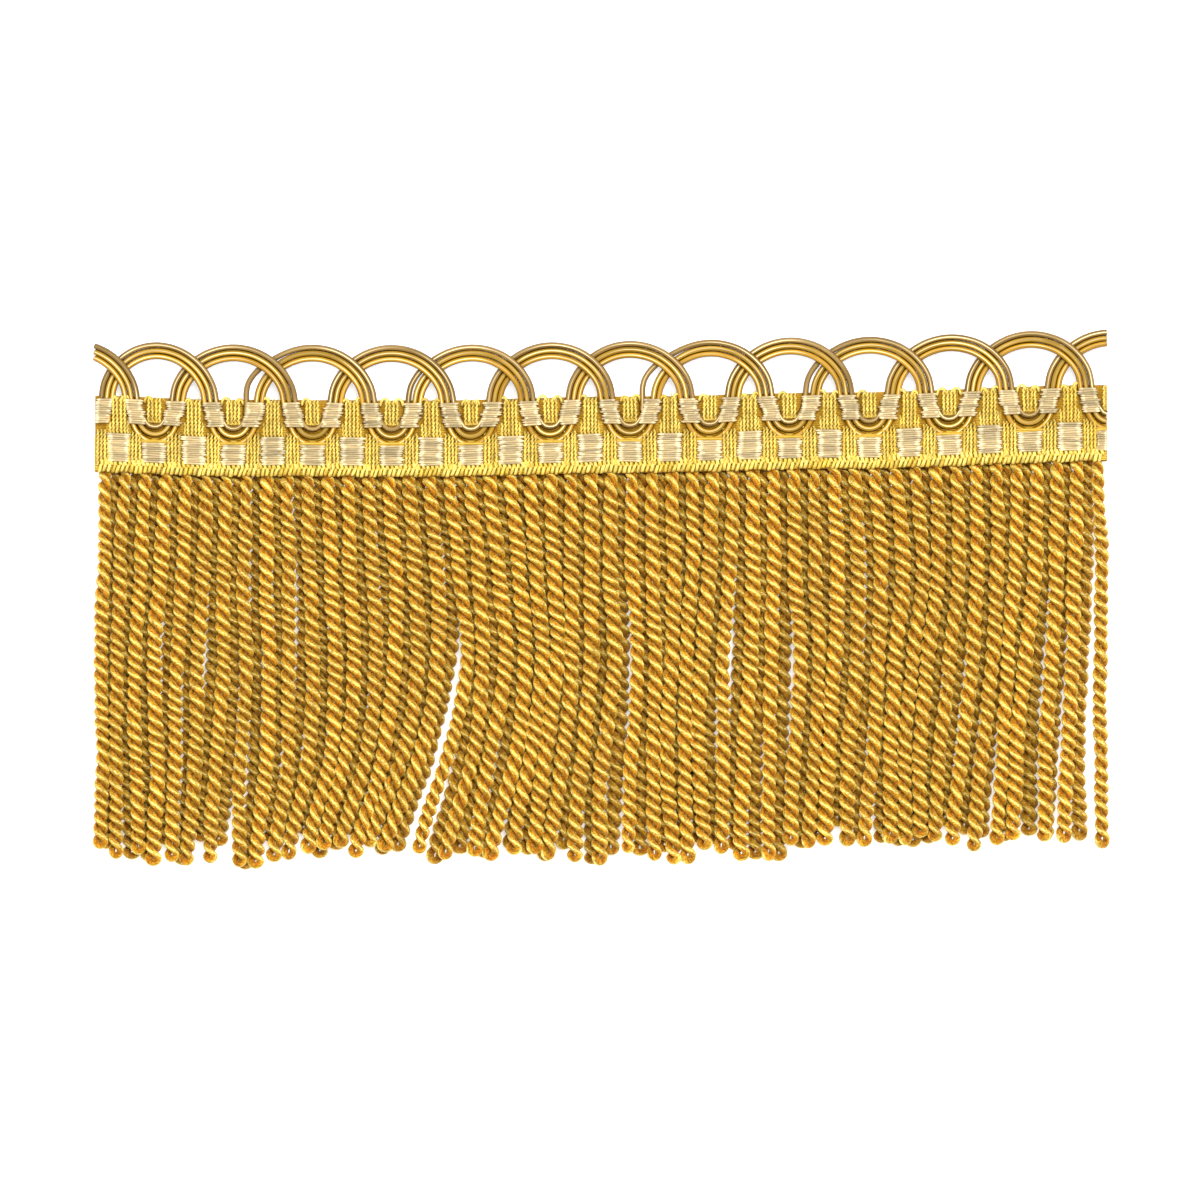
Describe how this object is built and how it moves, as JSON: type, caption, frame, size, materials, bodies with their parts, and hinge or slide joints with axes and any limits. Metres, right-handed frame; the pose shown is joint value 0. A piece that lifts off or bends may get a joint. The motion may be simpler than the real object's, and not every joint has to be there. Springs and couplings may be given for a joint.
{
  "type": "cord fringe trim",
  "caption": "Cut length of bullion fringe trim: woven heading with interlaced gimp scallops above a skirt of twisted looped cords, lying flat.",
  "frame": {"origin": "centre of the trim's box, on the surface that it lies on", "axes": "+X along the trim, +Y across it from the skirt towards the scallops, +Z out of its face"},
  "size_m": [0.15, 0.08, 0.0044],
  "materials": {
    "yellow_braid": "soft",
    "gold_gimp": "satin",
    "gold_cord": "satin"
  },
  "bodies": {
    "root": {"heading_band": "yellow_braid", "scallop_gimp_odd": "gold_gimp", "scallop_gimp_even": "gold_gimp", "skirt_back_row": "gold_cord", "skirt_front_row": "gold_cord"}
  },
  "joints": []
}
